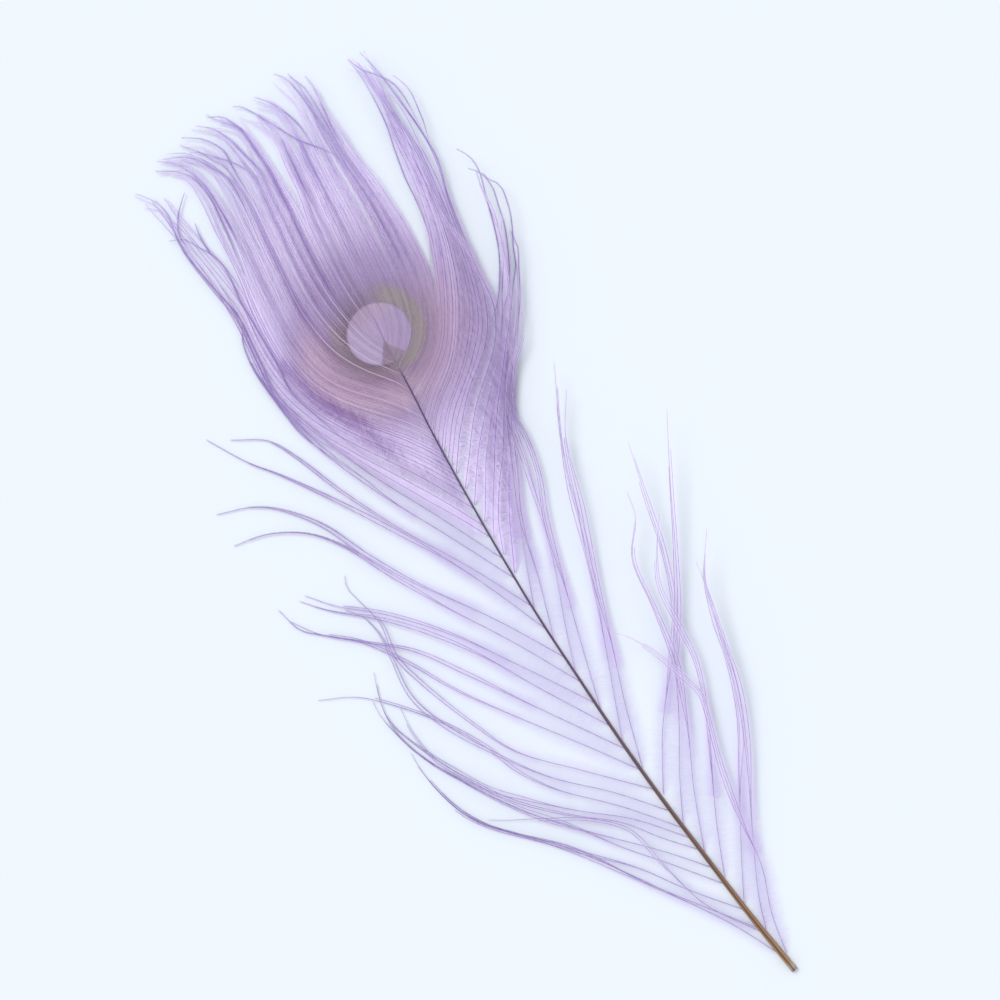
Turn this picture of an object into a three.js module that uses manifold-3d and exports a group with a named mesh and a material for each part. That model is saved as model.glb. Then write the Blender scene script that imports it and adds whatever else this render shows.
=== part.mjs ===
// A bleached and dyed peacock eye feather, lying on its back with its front up.
// Millimetres, +Z up. The feather runs along +Y from its cut quill to its crown,
// and the left side and the eye lie on the surface while the right side lifts off it.
import * as THREE from 'three';
import { mergeVertices } from 'three/addons/utils/BufferGeometryUtils.js';
import Module from 'manifold-3d';

// Shaft: full width at the cut quill, thinning to where it runs out in the eye.
const quillWidth = 2.0;
const shaftTipWidth = 0.9;
const shaftSides = 8;
const shaftSteps = 30;

// Barbs stick together in flat locks: a lock is a low ridge with a flat underside.
const looseWidth = 1.7;
const looseThickness = 0.9;
const vaneThickness = 1.1;
const lockSides = 3;
const looseStep = 9.5;
const vaneStep = 12;

// Middle line of the shaft, from the cut end of the quill up into the eye.
const shaftLine = [
  [0, -0.8], [-3.7, 20], [-6.6, 40], [-9.4, 60], [-11.6, 80], [-13.3, 100], [-14.8, 120],
  [-15.6, 140], [-15.9, 160], [-15.8, 180], [-15.3, 193], [-15.3, 206],
];

// Loose barbs left of the shaft. Each path runs from the shaft to the tip, and lift is
// how high the middle of the barb arches off the surface before its tip comes down.
const leftLoose = [
  { lift: 0.6, path: [[-1.5, 5], [-9.5, 19.5], [-20, 34.5], [-30, 48.5], [-40, 61.4], [-48, 69.2]] },
  { lift: 1.0, path: [[-3, 14], [-12, 25], [-25, 41.3], [-38, 59.5], [-50, 70.5], [-58, 79],
    [-62, 88], [-64.3, 98], [-64.5, 104]] },
  { lift: 3.0, path: [[-3, 13], [-13, 27.5], [-17.5, 42], [-21, 56], [-30, 64.5], [-40, 70],
    [-50, 74.8], [-54.5, 77.3]] },
  { lift: 0.6, path: [[-4, 20.5], [-15, 33], [-25, 46], [-38, 59], [-46, 66.8]] },
  { lift: 1.2, path: [[-5.8, 30], [-16.5, 42.5], [-25, 52], [-35, 64.5], [-45, 75], [-54.5, 88.5],
    [-61.5, 100], [-65.5, 112], [-65, 121], [-62.7, 129]] },
  { lift: 1.6, path: [[-6.5, 35.5], [-15, 45], [-30, 59.5], [-40, 69.5], [-50, 82], [-57, 93],
    [-63, 103.5], [-66, 113], [-67, 118], [-66.8, 122]] },
  { lift: 1.8, path: [[-7.5, 42], [-15, 50], [-22, 58.5], [-34, 68], [-46, 79.5], [-53.5, 90],
    [-59, 99], [-61, 107], [-61.3, 112], [-61, 116.5]] },
  { lift: 1.4, path: [[-8.5, 49.5], [-20, 62.5], [-35, 77], [-42, 87], [-45, 95], [-52, 106.5],
    [-60, 116], [-70, 125.2], [-80, 129.7]] },
  { lift: 1.8, path: [[-9.5, 55.5], [-20, 67], [-34, 80], [-44, 93.5], [-52, 106.5], [-56.3, 118],
    [-56, 130], [-55.9, 138], [-58, 144.5], [-61, 148]] },
  { lift: 2.4, path: [[-10, 62.5], [-25, 77], [-39, 91], [-45.5, 103], [-52.5, 119.5],
    [-55.5, 130], [-54.4, 140], [-57, 150], [-57.8, 153.5], [-56.7, 156.6]] },
  { lift: 1.2, path: [[-11, 69.5], [-20, 81.5], [-35, 100.5], [-45, 113.5], [-53, 126.5],
    [-62, 138.5]] },
  { lift: 1.4, path: [[-11.7, 76.5], [-25, 95], [-40, 115.5], [-50, 128.8], [-60, 137],
    [-70, 145], [-75, 149.5], [-77.5, 157]] },
  { lift: 1.6, path: [[-12.5, 84.5], [-25, 104], [-33, 117], [-45, 132], [-55, 142], [-65, 150],
    [-71, 156.3]] },
  { lift: 1.0, path: [[-13, 92], [-25, 109.5], [-38, 127.2], [-52, 141.7], [-63, 150.5],
    [-69, 157]] },
  { lift: 1.8, path: [[-13.5, 99], [-25, 118.5], [-38, 138], [-46, 151], [-53, 164], [-60, 172],
    [-70, 177.3], [-79.5, 178.9]] },
  { lift: 1.2, path: [[-14.3, 107.5], [-25, 124.5], [-40, 145.5], [-48, 159], [-55, 172.5],
    [-64, 182.3], [-70, 186], [-79.5, 188.9]] },
  { lift: 1.6, path: [[-15, 117], [-23, 134.5], [-32.5, 152.5], [-44, 170.5], [-58.5, 190],
    [-65, 197.5], [-72, 208.5]] },
  { lift: 1.2, path: [[-15.4, 124.5], [-25, 142], [-36, 159.5], [-46, 178.5], [-52, 192],
    [-57, 200], [-66, 205.2]] },
  { lift: 0.8, path: [[-15.7, 133.5], [-26, 152.5], [-38, 174], [-46, 192], [-49.8, 208],
    [-51, 220], [-49.6, 228.5], [-47.6, 232]] },
  { lift: 0.5, path: [[-16, 140], [-26, 159], [-37, 179], [-44, 196], [-47.5, 208]] },
];

// Loose barbs right of the shaft. These lift off the surface towards their tips, by rise.
const rightLoose = [
  { rise: 9, path: [[0.3, 4.5], [2, 16], [6, 29], [7.2, 43], [9.5, 59], [13.5, 75], [14.3, 80],
    [12, 87.5], [8.5, 96.5], [4.5, 103.5], [1.2, 106.8]] },
  { rise: 11, path: [[-1.5, 13], [1, 21.5], [8, 38], [17, 57], [24, 75.5], [27, 90], [30, 105],
    [30.8, 113]] },
  { rise: 12, path: [[-3.5, 22], [2, 33.5], [11, 51], [20, 68], [25.5, 84], [28, 98], [31, 108.5],
    [37.8, 119.5]] },
  { rise: 10, path: [[-4.5, 31.5], [0.5, 45], [7.5, 61], [13.5, 75], [17.5, 88], [18.2, 99],
    [18.8, 112], [22, 119.5], [28.5, 129.5]] },
  { rise: 9, path: [[-6, 40.5], [0, 57.5], [7.5, 75], [12.5, 91], [14.7, 108], [16, 122],
    [22.3, 131.8], [23.5, 139]] },
  { rise: 12, path: [[-7.5, 50], [-2, 62], [5, 75], [12, 89], [22, 107], [29, 121.5],
    [35.5, 136], [44.3, 154]] },
  { rise: 10, path: [[-8.3, 60], [0, 75.5], [10, 89.5], [18.5, 102], [24.5, 120], [27, 133],
    [30.5, 151]] },
  { rise: 7, path: [[-9.8, 69.5], [-5.5, 87], [-0.5, 104], [5, 125], [10.5, 142], [16, 160.5],
    [22.8, 172.2]] },
  { rise: 8.5, path: [[-11, 79], [-4.5, 98], [1.3, 115], [6, 130], [11, 150], [16, 164],
    [23.3, 180.2]] },
  { rise: 5, path: [[-12, 90], [-8, 108], [-4, 125], [0, 143], [4.5, 155], [6.5, 166],
    [6.6, 175], [12, 184]] },
  { rise: 4, path: [[-13.5, 101], [-9.3, 115], [-4.5, 129], [-0.5, 143], [3, 160], [6, 175]] },
  { rise: 3, path: [[-14.3, 112], [-10, 128], [-6, 145], [-0.5, 160], [5, 173.5]] },
  { rise: 3, path: [[-14.9, 122.5], [-9.5, 138], [-5, 149.5], [1, 163], [6, 174]] },
];

// Locks of the closed vane round the eye and of the crown above it, from the outermost
// lock on the left, over the middle, to the outermost on the right. Width is the widest
// that the lock gets, and rise is how high its tip lifts off the surface.
const vaneLocks = [
  { width: 6.0, rise: 0, path: [[-16.2, 146], [-26, 163.5], [-37, 184], [-44, 199], [-47.3, 212],
    [-47, 224], [-46.2, 235], [-47.5, 246], [-49.5, 256], [-51.3, 266], [-52, 272], [-56, 278.5]] },
  { width: 6.0, rise: 0.5, path: [[-16.2, 155], [-26, 172.5], [-36, 190], [-41.5, 206], [-42, 220],
    [-41.4, 236], [-40, 248], [-39, 260], [-38.6, 268], [-41, 277], [-48, 281.2]] },
  { width: 6.0, rise: 0.9, path: [[-16.1, 162], [-25, 177], [-33, 192], [-37.5, 207], [-38.2, 222],
    [-37.5, 240], [-36.6, 255], [-37.3, 268], [-39.8, 278], [-46.3, 283.4]] },
  { width: 6.0, rise: 0.4, path: [[-16, 168], [-24, 181], [-30.5, 195], [-34, 209], [-34.6, 224],
    [-33.8, 240], [-33, 255], [-32.6, 266], [-34.5, 275.5], [-40, 281.5], [-44.5, 283.2]] },
  { width: 6.0, rise: 1.0, path: [[-15.9, 174], [-22, 185], [-27.5, 197], [-30.5, 211], [-30.9, 225],
    [-30, 240], [-29.3, 255], [-29, 268], [-31.5, 279], [-37.5, 285.7]] },
  { width: 5.6, rise: 0.5, path: [[-15.8, 180], [-20.5, 190], [-25, 201], [-27, 213], [-27, 226],
    [-26, 241], [-25, 256], [-24.8, 268], [-27.3, 280], [-33, 286.8]] },
  { width: 5.6, rise: 1.0, path: [[-15.7, 186], [-19, 195], [-22.5, 205], [-23.5, 215], [-23, 228],
    [-22, 242], [-21, 256], [-20.7, 269], [-22.5, 281], [-28.5, 287.3]] },
  { width: 5.6, rise: 0.5, path: [[-15.5, 192], [-17.5, 200], [-19, 209], [-19.5, 219], [-19, 231],
    [-18, 244], [-16.8, 257], [-17, 270], [-18.5, 280], [-21, 286.7]] },
  { width: 5.6, rise: 0, path: [[-15.3, 196], [-15.4, 206], [-15.4, 218], [-15, 232], [-14, 246],
    [-13, 259], [-12.6, 270], [-14, 278], [-16.3, 281.5]] },
  { width: 5.6, rise: 0.8, path: [[-15.1, 192], [-12.8, 200], [-11.5, 209], [-10.5, 219],
    [-10, 232], [-9.5, 246], [-9, 259], [-8.5, 270], [-10, 279.5], [-14, 285.8]] },
  { width: 5.8, rise: 1.5, path: [[-15.3, 186], [-10.5, 196], [-7.5, 207], [-6, 219], [-5, 232],
    [-4.5, 246], [-4.5, 259], [-3.7, 270], [-3.8, 280], [-6.3, 288.7]] },
  { width: 6.0, rise: 1.0, path: [[-15.5, 180], [-8, 192], [-3.5, 203], [-0.6, 215], [0.4, 229],
    [0.4, 243], [-0.3, 256], [-1, 268], [-1, 279], [-2.5, 287]] },
  { width: 5.6, rise: 1.6, path: [[-15.6, 174], [-6, 188], [0, 199], [3.2, 211], [4.4, 225],
    [4.4, 238], [3.2, 250], [1.8, 262], [1.2, 274], [1.6, 284]] },
  { width: 6.4, rise: 3.0, path: [[-15.8, 168], [-8, 179], [0, 189], [6, 200], [9.8, 212],
    [12.6, 226], [14.2, 240], [15.6, 255], [16.5, 268], [15.8, 277], [14, 282]] },
  { width: 6.4, rise: 4.0, path: [[-15.9, 161], [-8, 173], [1, 183], [9, 194], [14, 206],
    [16.3, 220], [18, 234], [19.2, 248], [18.5, 262], [18.5, 274], [18, 282]] },
  { width: 4.6, rise: 5.0, path: [[-15.8, 155], [-9, 165], [0, 176], [8, 186], [15, 196],
    [21, 207], [26, 219], [29.5, 232], [31, 240], [28.5, 245.3]] },
  { width: 4.6, rise: 6.0, path: [[-15.6, 147], [-8, 158.5], [0, 168.5], [8, 181], [16, 191],
    [23, 204], [28, 216], [31.5, 228], [31.5, 235], [28.7, 239]] },
  { width: 4.2, rise: 6.0, path: [[-15.3, 138], [-9, 149], [-2, 161], [4, 171], [10, 182],
    [18, 192], [25, 204.5], [30, 216], [34, 227.5], [33.3, 232.5], [31.5, 236]] },
];

// Thin side tips that fork off a lock: on the left lock, the right lock and the crown.
const sideTips = [
  { base: 0.2, rise: 0.5, path: [[-50.6, 258], [-50.2, 265], [-48, 268.5], [-44, 272]] },
  { base: 0.2, rise: 0.3, path: [[-48.5, 254], [-50.5, 260], [-54, 262.2]] },
  { base: 0.2, rise: 0.3, path: [[-47, 248], [-46, 256], [-45.6, 263]] },
  { base: 2.4, rise: 2.4, path: [[19.5, 245], [23, 256], [24.8, 265], [23, 272]] },
  { base: 0.2, rise: 2.0, path: [[-1.5, 260], [-6, 266], [-11, 273.5], [-14.6, 279.6], [-17, 281.8]] },
];

// An upright prism with the given number of sides, wrapped along a smooth path: its height
// runs along the path, its width lies level across it, and its underside is flat, at the
// height that baseAt gives. Turn rolls the prism so that it stands on a flat side.
function sweep(path, steps, sides, turn, widthAt, thicknessAt, baseAt) {
  const points = path.map(([x, y]) => new THREE.Vector3(x, y, 0));
  const curve = new THREE.CatmullRomCurve3(points, false, 'centripetal');
  const prism = new THREE.CylinderGeometry(1, 1, 1, sides, steps, false, turn);
  prism.computeBoundingBox();
  const section = prism.boundingBox;
  const position = prism.getAttribute('position');
  const across = new THREE.Vector3();
  for (let i = 0; i < position.count; i++) {
    const along = THREE.MathUtils.clamp(position.getY(i) + 0.5, 0, 1);
    const tangent = curve.getTangentAt(along);
    across.set(tangent.y, -tangent.x, 0).normalize();
    const side = position.getX(i) / section.max.x * widthAt(along) / 2;
    const upShare = (position.getZ(i) - section.min.z) / (section.max.z - section.min.z);
    const point = curve.getPointAt(along).addScaledVector(across, side);
    position.setXYZ(i, point.x, point.y, baseAt(along) + upShare * thicknessAt(along));
  }
  return prism;
}

// Length of a path, to give each lock steps of about the same length.
function pathLength(path) {
  const legs = path.slice(1).map(([x, y], i) => Math.hypot(x - path[i][0], y - path[i][1]));
  return legs.reduce((sum, leg) => sum + leg, 0);
}

// One until the place "from" along the path, then falling smoothly to "end" at the tip.
const rampDown = (along, from, end) => 1 - (1 - end) * THREE.MathUtils.smoothstep(along, from, 1);

// A loose barb with its barbules: one width for most of its length and a thin tip.
function looseBarb({ path, lift = 0, rise = 0, base = 0 }) {
  const steps = Math.max(3, Math.round(pathLength(path) / looseStep));
  const width = (along) => looseWidth * rampDown(along, 0.6, 0.35);
  const thickness = (along) => looseThickness * rampDown(along, 0.5, 0.5);
  const height = (along) => base + lift * Math.sin(Math.PI * along) + rise * along ** 1.6;
  return sweep(path, steps, lockSides, 0, width, thickness, height);
}

// A lock of the closed vane: narrow at the shaft, widest round the eye, pointed at the tip.
function vaneLock({ path, width, rise }) {
  const steps = Math.round(pathLength(path) / vaneStep);
  const spread = (along) => 0.55 + 0.45 * THREE.MathUtils.smoothstep(along, 0, 0.4);
  const widthAt = (along) => width * spread(along) * rampDown(along, 0.72, 0.12);
  const thickness = (along) => vaneThickness * rampDown(along, 0.7, 0.45);
  return sweep(path, steps, lockSides, 0, widthAt, thickness, (along) => rise * along ** 2);
}

// The shaft: eight-sided with a flat underside, so that it lies on the surface.
function shaft() {
  const width = (along) => THREE.MathUtils.lerp(quillWidth, shaftTipWidth, Math.min(1, along * 1.8));
  return sweep(shaftLine, shaftSteps, shaftSides, Math.PI / shaftSides, width, width, () => 0);
}

const wasm = await Module();
wasm.setup();

// A closed three.js shape as a solid that can be joined to others.
function solidOf(geometry) {
  geometry.deleteAttribute('normal');
  geometry.deleteAttribute('uv');
  const merged = mergeVertices(geometry, 1e-5);
  return new wasm.Manifold(new wasm.Mesh({
    numProp: 3,
    vertProperties: Float32Array.from(merged.getAttribute('position').array),
    triVerts: Uint32Array.from(merged.getIndex().array),
  }));
}

// Shaft, barbs and locks grow from each other, so they are joined in one body.
const shapes = [shaft(), ...leftLoose.map(looseBarb), ...rightLoose.map(looseBarb),
  ...vaneLocks.map(vaneLock), ...sideTips.map(looseBarb)];
const body = shapes.map(solidOf).reduce((whole, next) => whole.add(next));

const joined = body.getMesh();
const featherGeometry = new THREE.BufferGeometry();
featherGeometry.setAttribute('position', new THREE.BufferAttribute(joined.vertProperties, 3));
featherGeometry.setIndex(new THREE.BufferAttribute(joined.triVerts, 1));

// The origin is on the surface, under the middle of the feather's box.
featherGeometry.computeBoundingBox();
const { min, max } = featherGeometry.boundingBox;
featherGeometry.translate(-(min.x + max.x) / 2, -(min.y + max.y) / 2, -min.z);
featherGeometry.computeVertexNormals();

const dyedBarb = new THREE.MeshStandardMaterial({ color: 0xb9a6dc, roughness: 0.75, metalness: 0 });
const feather = new THREE.Mesh(featherGeometry, dyedBarb);
feather.name = 'feather';

const group = new THREE.Group();
group.add(feather);

export default group;
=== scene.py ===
import math

import bmesh
import bpy
import numpy as np
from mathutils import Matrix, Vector


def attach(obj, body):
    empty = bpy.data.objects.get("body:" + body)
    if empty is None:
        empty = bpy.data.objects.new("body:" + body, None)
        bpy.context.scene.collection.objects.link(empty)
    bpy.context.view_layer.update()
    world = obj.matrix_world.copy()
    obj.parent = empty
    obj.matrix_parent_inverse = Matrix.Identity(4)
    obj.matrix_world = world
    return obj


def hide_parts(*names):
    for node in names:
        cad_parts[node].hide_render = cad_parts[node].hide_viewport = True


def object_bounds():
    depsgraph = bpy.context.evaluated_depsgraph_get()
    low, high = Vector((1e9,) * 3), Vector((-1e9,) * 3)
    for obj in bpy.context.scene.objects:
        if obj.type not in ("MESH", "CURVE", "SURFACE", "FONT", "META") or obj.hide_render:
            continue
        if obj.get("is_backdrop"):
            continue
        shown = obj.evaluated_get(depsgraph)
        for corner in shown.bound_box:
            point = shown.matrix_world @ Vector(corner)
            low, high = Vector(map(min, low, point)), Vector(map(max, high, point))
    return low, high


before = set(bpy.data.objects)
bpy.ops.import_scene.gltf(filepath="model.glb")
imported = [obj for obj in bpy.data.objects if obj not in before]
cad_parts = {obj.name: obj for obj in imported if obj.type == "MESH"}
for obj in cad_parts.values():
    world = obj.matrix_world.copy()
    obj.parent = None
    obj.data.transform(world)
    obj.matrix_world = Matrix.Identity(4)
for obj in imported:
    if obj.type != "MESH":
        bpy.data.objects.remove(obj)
cad_low, cad_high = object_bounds()

# The camera looks straight down on the feather, which lies on its back. It is turned so
# that the crown points to the upper left of the picture, and is far off, so that the
# barbs that lift off the ground are hardly enlarged.
MM = 0.001
BOX_MIDDLE = (-17.777, 143.911)     # middle of the feather's box, in mm from the cut quill
VIEW_MIDDLE = (-8.36, 154.14)       # what the middle of the picture shows, from the quill
VIEW_WIDTH = 0.280
VIEW_TURN = math.radians(-29)
LENS_MM = 120


def place(x_mm, y_mm, z_mm=0.0):
    """A point given in millimetres from the cut end of the quill, in the frame's metres."""
    return ((x_mm - BOX_MIDDLE[0]) * MM, (y_mm - BOX_MIDDLE[1]) * MM, z_mm * MM)


camera_data = bpy.data.cameras.new("camera")
camera_data.lens = LENS_MM
camera_distance = VIEW_WIDTH * LENS_MM / camera_data.sensor_width
camera = bpy.data.objects.new("camera", camera_data)
camera.location = Vector(place(*VIEW_MIDDLE)) + Vector((0, 0, camera_distance))
camera.rotation_euler = (0, 0, VIEW_TURN)
bpy.context.collection.objects.link(camera)
bpy.context.scene.camera = camera

# The shaft: a solid horn rod, two millimetres thick at the cut quill and thinning to a
# hair inside the eye. It lies on the ground and rises a little in the vane, where it stands
# proud of the barbs. Its front has a shallow groove, and the cut end shows the pith, sunk in
# a little; groove and pith are painted darker, as painted shade. Horn brown at the quill,
# dyed grey violet further up.
SHAFT_LINE = [(0, -0.8), (-3.7, 20), (-6.6, 40), (-9.4, 60), (-11.6, 80), (-13.3, 100),
              (-14.8, 120), (-15.6, 140), (-15.9, 160), (-15.8, 180), (-15.3, 193), (-15.2, 205),
              (-14.6, 216)]
SHAFT_WIDTH = [(0, 1.95), (15, 1.62), (30, 1.4), (45, 1.25), (60, 1.12), (80, 0.95), (110, 0.66),
               (150, 0.52), (190, 0.38), (198, 0.34), (200, 0.22), (216, 0.1)]
SHAFT_SIDES = 24
SHAFT_RINGS = 150
SHAFT_RISE = [(100, 0.0), (140, 0.5), (185, 0.6), (205, 0.9)]
SHAFT_LENGTH = SHAFT_LINE[-1][1]
FLAT_BACK = 0.85                    # the back is cut flat at this share of the radius
GROOVE_DEPTH = 0.16
GROOVE_SIDE = -0.15
GROOVE_REACH = 0.3
PITH_HEIGHT = 0.45
PITH_SHARE = 0.62
PITH_RIM = (0, 0.12 * MM, 0)
PITH_BOTTOM = (-0.2 * MM, 1.1 * MM, 0)
PITH_GROOVE = 0.6                   # the pith takes on the darker colour of the groove


def smooth_path(points, count):
    """Evenly spaced points on a smooth curve through the given ones, root first."""
    given = np.array(points, float)
    run = np.vstack([2 * given[0] - given[1], given, 2 * given[-1] - given[-2]])
    steps = np.linalg.norm(np.diff(run, axis=0), axis=1) ** 0.5
    share = np.linspace(0, 1, 16, endpoint=False)[:, None]
    fine = []
    for i in range(1, len(run) - 2):
        before, here, there, after = run[i - 1:i + 3]
        lead, gap, trail = steps[i - 1:i + 2]
        leave = (here - before) / lead - (there - before) / (lead + gap) + (there - here) / gap
        arrive = (there - here) / gap - (after - here) / (gap + trail) + (after - there) / trail
        fine.append((2 * share**3 - 3 * share**2 + 1) * here + (3 * share**2 - 2 * share**3) * there
                    + (share**3 - 2 * share**2 + share) * gap * leave
                    + (share**3 - share**2) * gap * arrive)
    fine = np.vstack(fine + [given[-1:]])
    travelled = np.concatenate([[0], np.cumsum(np.linalg.norm(np.diff(fine, axis=0), axis=1))])
    wanted = np.linspace(0, travelled[-1], count)
    return np.stack([np.interp(wanted, travelled, fine[:, k]) for k in range(fine.shape[1])], 1)


def sideways(path):
    """The level direction across a path at each of its points, to the right of its run."""
    along = np.gradient(path[:, :2], axis=0)
    along /= np.linalg.norm(along, axis=1)[:, None]
    return np.stack([along[:, 1], -along[:, 0]], 1)


shaft_path = smooth_path(SHAFT_LINE, SHAFT_RINGS)
shaft_across = sideways(shaft_path)
shaft_width = np.interp(shaft_path[:, 1], *zip(*SHAFT_WIDTH))
shaft_points = []
shaft_groove = []
for middle, across, width in zip(shaft_path, shaft_across, shaft_width):
    for k in range(SHAFT_SIDES):
        turn = 2 * math.pi * k / SHAFT_SIDES
        from_groove = (math.sin(turn) - GROOVE_SIDE) / GROOVE_REACH
        in_groove = math.exp(-from_groove ** 2) * (math.cos(turn) > 0)
        groove = 1 - GROOVE_DEPTH * in_groove
        shaft_groove.append(in_groove)
        side = math.sin(turn) * width / 2
        up = (max(-FLAT_BACK, math.cos(turn) * groove) + FLAT_BACK) * width / 2
        up += np.interp(middle[1], *zip(*SHAFT_RISE))
        shaft_points.append(place(middle[0] + across[0] * side, middle[1] + across[1] * side, up))
shaft_faces = []
for ring in range(SHAFT_RINGS - 1):
    for k in range(SHAFT_SIDES):
        a, b = ring * SHAFT_SIDES + k, ring * SHAFT_SIDES + (k + 1) % SHAFT_SIDES
        shaft_faces.append((a, b, b + SHAFT_SIDES, a + SHAFT_SIDES))
pith = len(shaft_points)
for k in range(SHAFT_SIDES):
    edge = np.array(shaft_points[k])
    middle = np.array(place(*SHAFT_LINE[0], PITH_HEIGHT * SHAFT_WIDTH[0][1]))
    shaft_points.append(tuple(middle + PITH_SHARE * (edge - middle) + np.array(PITH_RIM)))
for k in range(SHAFT_SIDES):
    edge = np.array(shaft_points[pith + k])
    shaft_points.append(tuple(edge + np.array(PITH_BOTTOM)))
for k in range(SHAFT_SIDES):
    after = (k + 1) % SHAFT_SIDES
    shaft_faces.append((after, k, pith + k, pith + after))
    shaft_faces.append((pith + after, pith + k, pith + SHAFT_SIDES + k, pith + SHAFT_SIDES + after))
shaft_faces.append([pith + SHAFT_SIDES + k for k in reversed(range(SHAFT_SIDES))])
last_ring = (SHAFT_RINGS - 1) * SHAFT_SIDES
shaft_faces.append([last_ring + k for k in range(SHAFT_SIDES)])


def new_mesh(name, points, faces, smooth=True):
    """A mesh object at the origin with its faces pointing out."""
    mesh = bpy.data.meshes.new(name)
    mesh.from_pydata(points, [], faces)
    work = bmesh.new()
    work.from_mesh(mesh)
    bmesh.ops.recalc_face_normals(work, faces=work.faces)
    work.to_mesh(mesh)
    work.free()
    for face in mesh.polygons:
        face.use_smooth = smooth
    made = bpy.data.objects.new(name, mesh)
    bpy.context.collection.objects.link(made)
    return made


def colour(red, green, blue):
    """A colour as the eye reads it off a screen, 0 to 255, in the numbers that light uses."""
    parts = [c / 255 for c in (red, green, blue)]
    return [c / 12.92 if c <= 0.04045 else ((c + 0.055) / 1.055) ** 2.4 for c in parts] + [1.0]


def feed(node, inputs):
    """Links a node's inputs to sockets, or gives them values."""
    for key, value in inputs.items():
        if isinstance(value, Socket):
            node.id_data.links.new(value.out, node.inputs[key])
        else:
            node.inputs[key].default_value = value


class Socket:
    """A socket of a node tree. Sums on it add Math nodes, and make() adds any other node."""

    def __init__(self, tree, out=None):
        self.tree = tree
        self.out = out

    def make(self, kind, settings=None, inputs=None, output=0):
        node = self.tree.nodes.new(kind)
        for name, value in (settings or {}).items():
            setattr(node, name, value)
        feed(node, inputs or {})
        return Socket(self.tree, node.outputs[output])

    def math(self, operation, *others, first=None):
        values = ([] if first is None else [first]) + [self] + list(others)
        return self.make("ShaderNodeMath", {"operation": operation}, dict(enumerate(values)))

    def __add__(self, other):
        return self.math("ADD", other)

    def __mul__(self, other):
        return self.math("MULTIPLY", other)

    def __sub__(self, other):
        return self.math("SUBTRACT", other)

    def __truediv__(self, other):
        return self.math("DIVIDE", other)

    def __rsub__(self, other):
        return self.math("SUBTRACT", first=other)

    def __pow__(self, other):
        return self.math("POWER", other)

    def step(self, low, high):
        """Zero below low, one above high, and smooth between them."""
        return self.make("ShaderNodeMapRange", {"interpolation_type": "SMOOTHSTEP"},
                         {"Value": self, "From Min": low, "From Max": high})

    def blend(self, colour, other, kind="MIX"):
        """The first colour where this mask is zero, and the other where it is one."""
        return self.make("ShaderNodeMix", {"data_type": "RGBA", "blend_type": kind},
                         {0: self, 6: colour, 7: other}, 2)

    def ramp(self, *stops):
        """The colour for this value in a row of stops, each with its place, red, green and blue."""
        made = self.make("ShaderNodeValToRGB", None, {0: self})
        row = made.out.node.color_ramp.elements
        while len(row) < len(stops):
            row.new(1.0)
        for stop, (position, *parts) in zip(row, stops):
            stop.position = position
            stop.color = colour(*parts)
        return made

    def moved(self, x_mm, y_mm):
        """These coordinates in millimetres from a place, instead of metres from the origin."""
        return self.make("ShaderNodeMapping", None, {
            "Vector": self, "Scale": (1000, 1000, 1000),
            "Location": (BOX_MIDDLE[0] - x_mm, BOX_MIDDLE[1] - y_mm, 0)})

    def noise(self, scale, detail, roughness):
        """Uneven grey, stretched as the scale says."""
        stretched = self.make("ShaderNodeMapping", None, {"Vector": self, "Scale": scale})
        return self.make("ShaderNodeTexNoise", None, {
            "Vector": stretched, "Scale": 1.0, "Detail": detail, "Roughness": roughness})

    def attribute(self, name):
        """A value that the mesh holds at each of its points."""
        return self.make("ShaderNodeAttribute", {"attribute_name": name}, None, 2)


def new_material(name):
    """An empty material with one Principled shader, and the object's coordinates."""
    material = bpy.data.materials.new(name)
    material.use_nodes = True
    shader = material.node_tree.nodes["Principled BSDF"]
    start = Socket(material.node_tree)
    where = start.make("ShaderNodeTexCoord", output=3)
    return material, shader, start, where


horn, horn_shader, start, where = new_material("dyed_horn")
from_quill = where.moved(0, 0)
up_shaft = from_quill.make("ShaderNodeSeparateXYZ", None, {0: from_quill}, 1) / SHAFT_LENGTH
flank = up_shaft.ramp(
    (0.0, 168, 160, 152), (0.012, 156, 128, 92), (0.1, 146, 114, 82), (0.2, 124, 100, 88),
    (0.32, 112, 92, 96), (0.5, 102, 82, 108), (0.915, 90, 66, 118), (0.93, 156, 134, 156),
    (0.965, 150, 128, 154), (1.0, 160, 140, 168))
# Painted shade: the groove and the sunken pith are coloured darker than the flanks.
groove_shade = up_shaft.ramp(
    (0.0, 120, 98, 84), (0.012, 98, 70, 52), (0.12, 84, 58, 48), (0.22, 74, 54, 52),
    (0.35, 74, 54, 72), (0.915, 70, 50, 96), (0.93, 140, 120, 142), (0.965, 132, 112, 138),
    (1.0, 150, 130, 158))
horn_colour = start.attribute("groove").step(0.05, 0.8).blend(flank, groove_shade)
fibre = from_quill.noise((5.0, 0.12, 5.0), 3.0, 0.6)
fleck = fibre.ramp((0.3, 160, 148, 154), (0.62, 255, 247, 248))
flecked = start.make("ShaderNodeMix", {"data_type": "RGBA", "blend_type": "MULTIPLY"},
                     {0: 0.5, 6: horn_colour, 7: fleck}, 2)
feed(horn_shader, {"Base Color": flecked, "Roughness": fibre * 0.25 + 0.3,
                   "Specular IOR Level": 0.35})

shaft = new_mesh("shaft", shaft_points, shaft_faces)
# The sunken pith takes the same painted shade as the groove.
shaft_groove += [PITH_GROOVE] * (len(shaft_points) - len(shaft_groove))
shaft.data.attributes.new("groove", "FLOAT", "POINT").data.foreach_set("value", shaft_groove)
shaft.data.materials.append(horn)
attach(shaft, "root")
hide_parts("feather")

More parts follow.
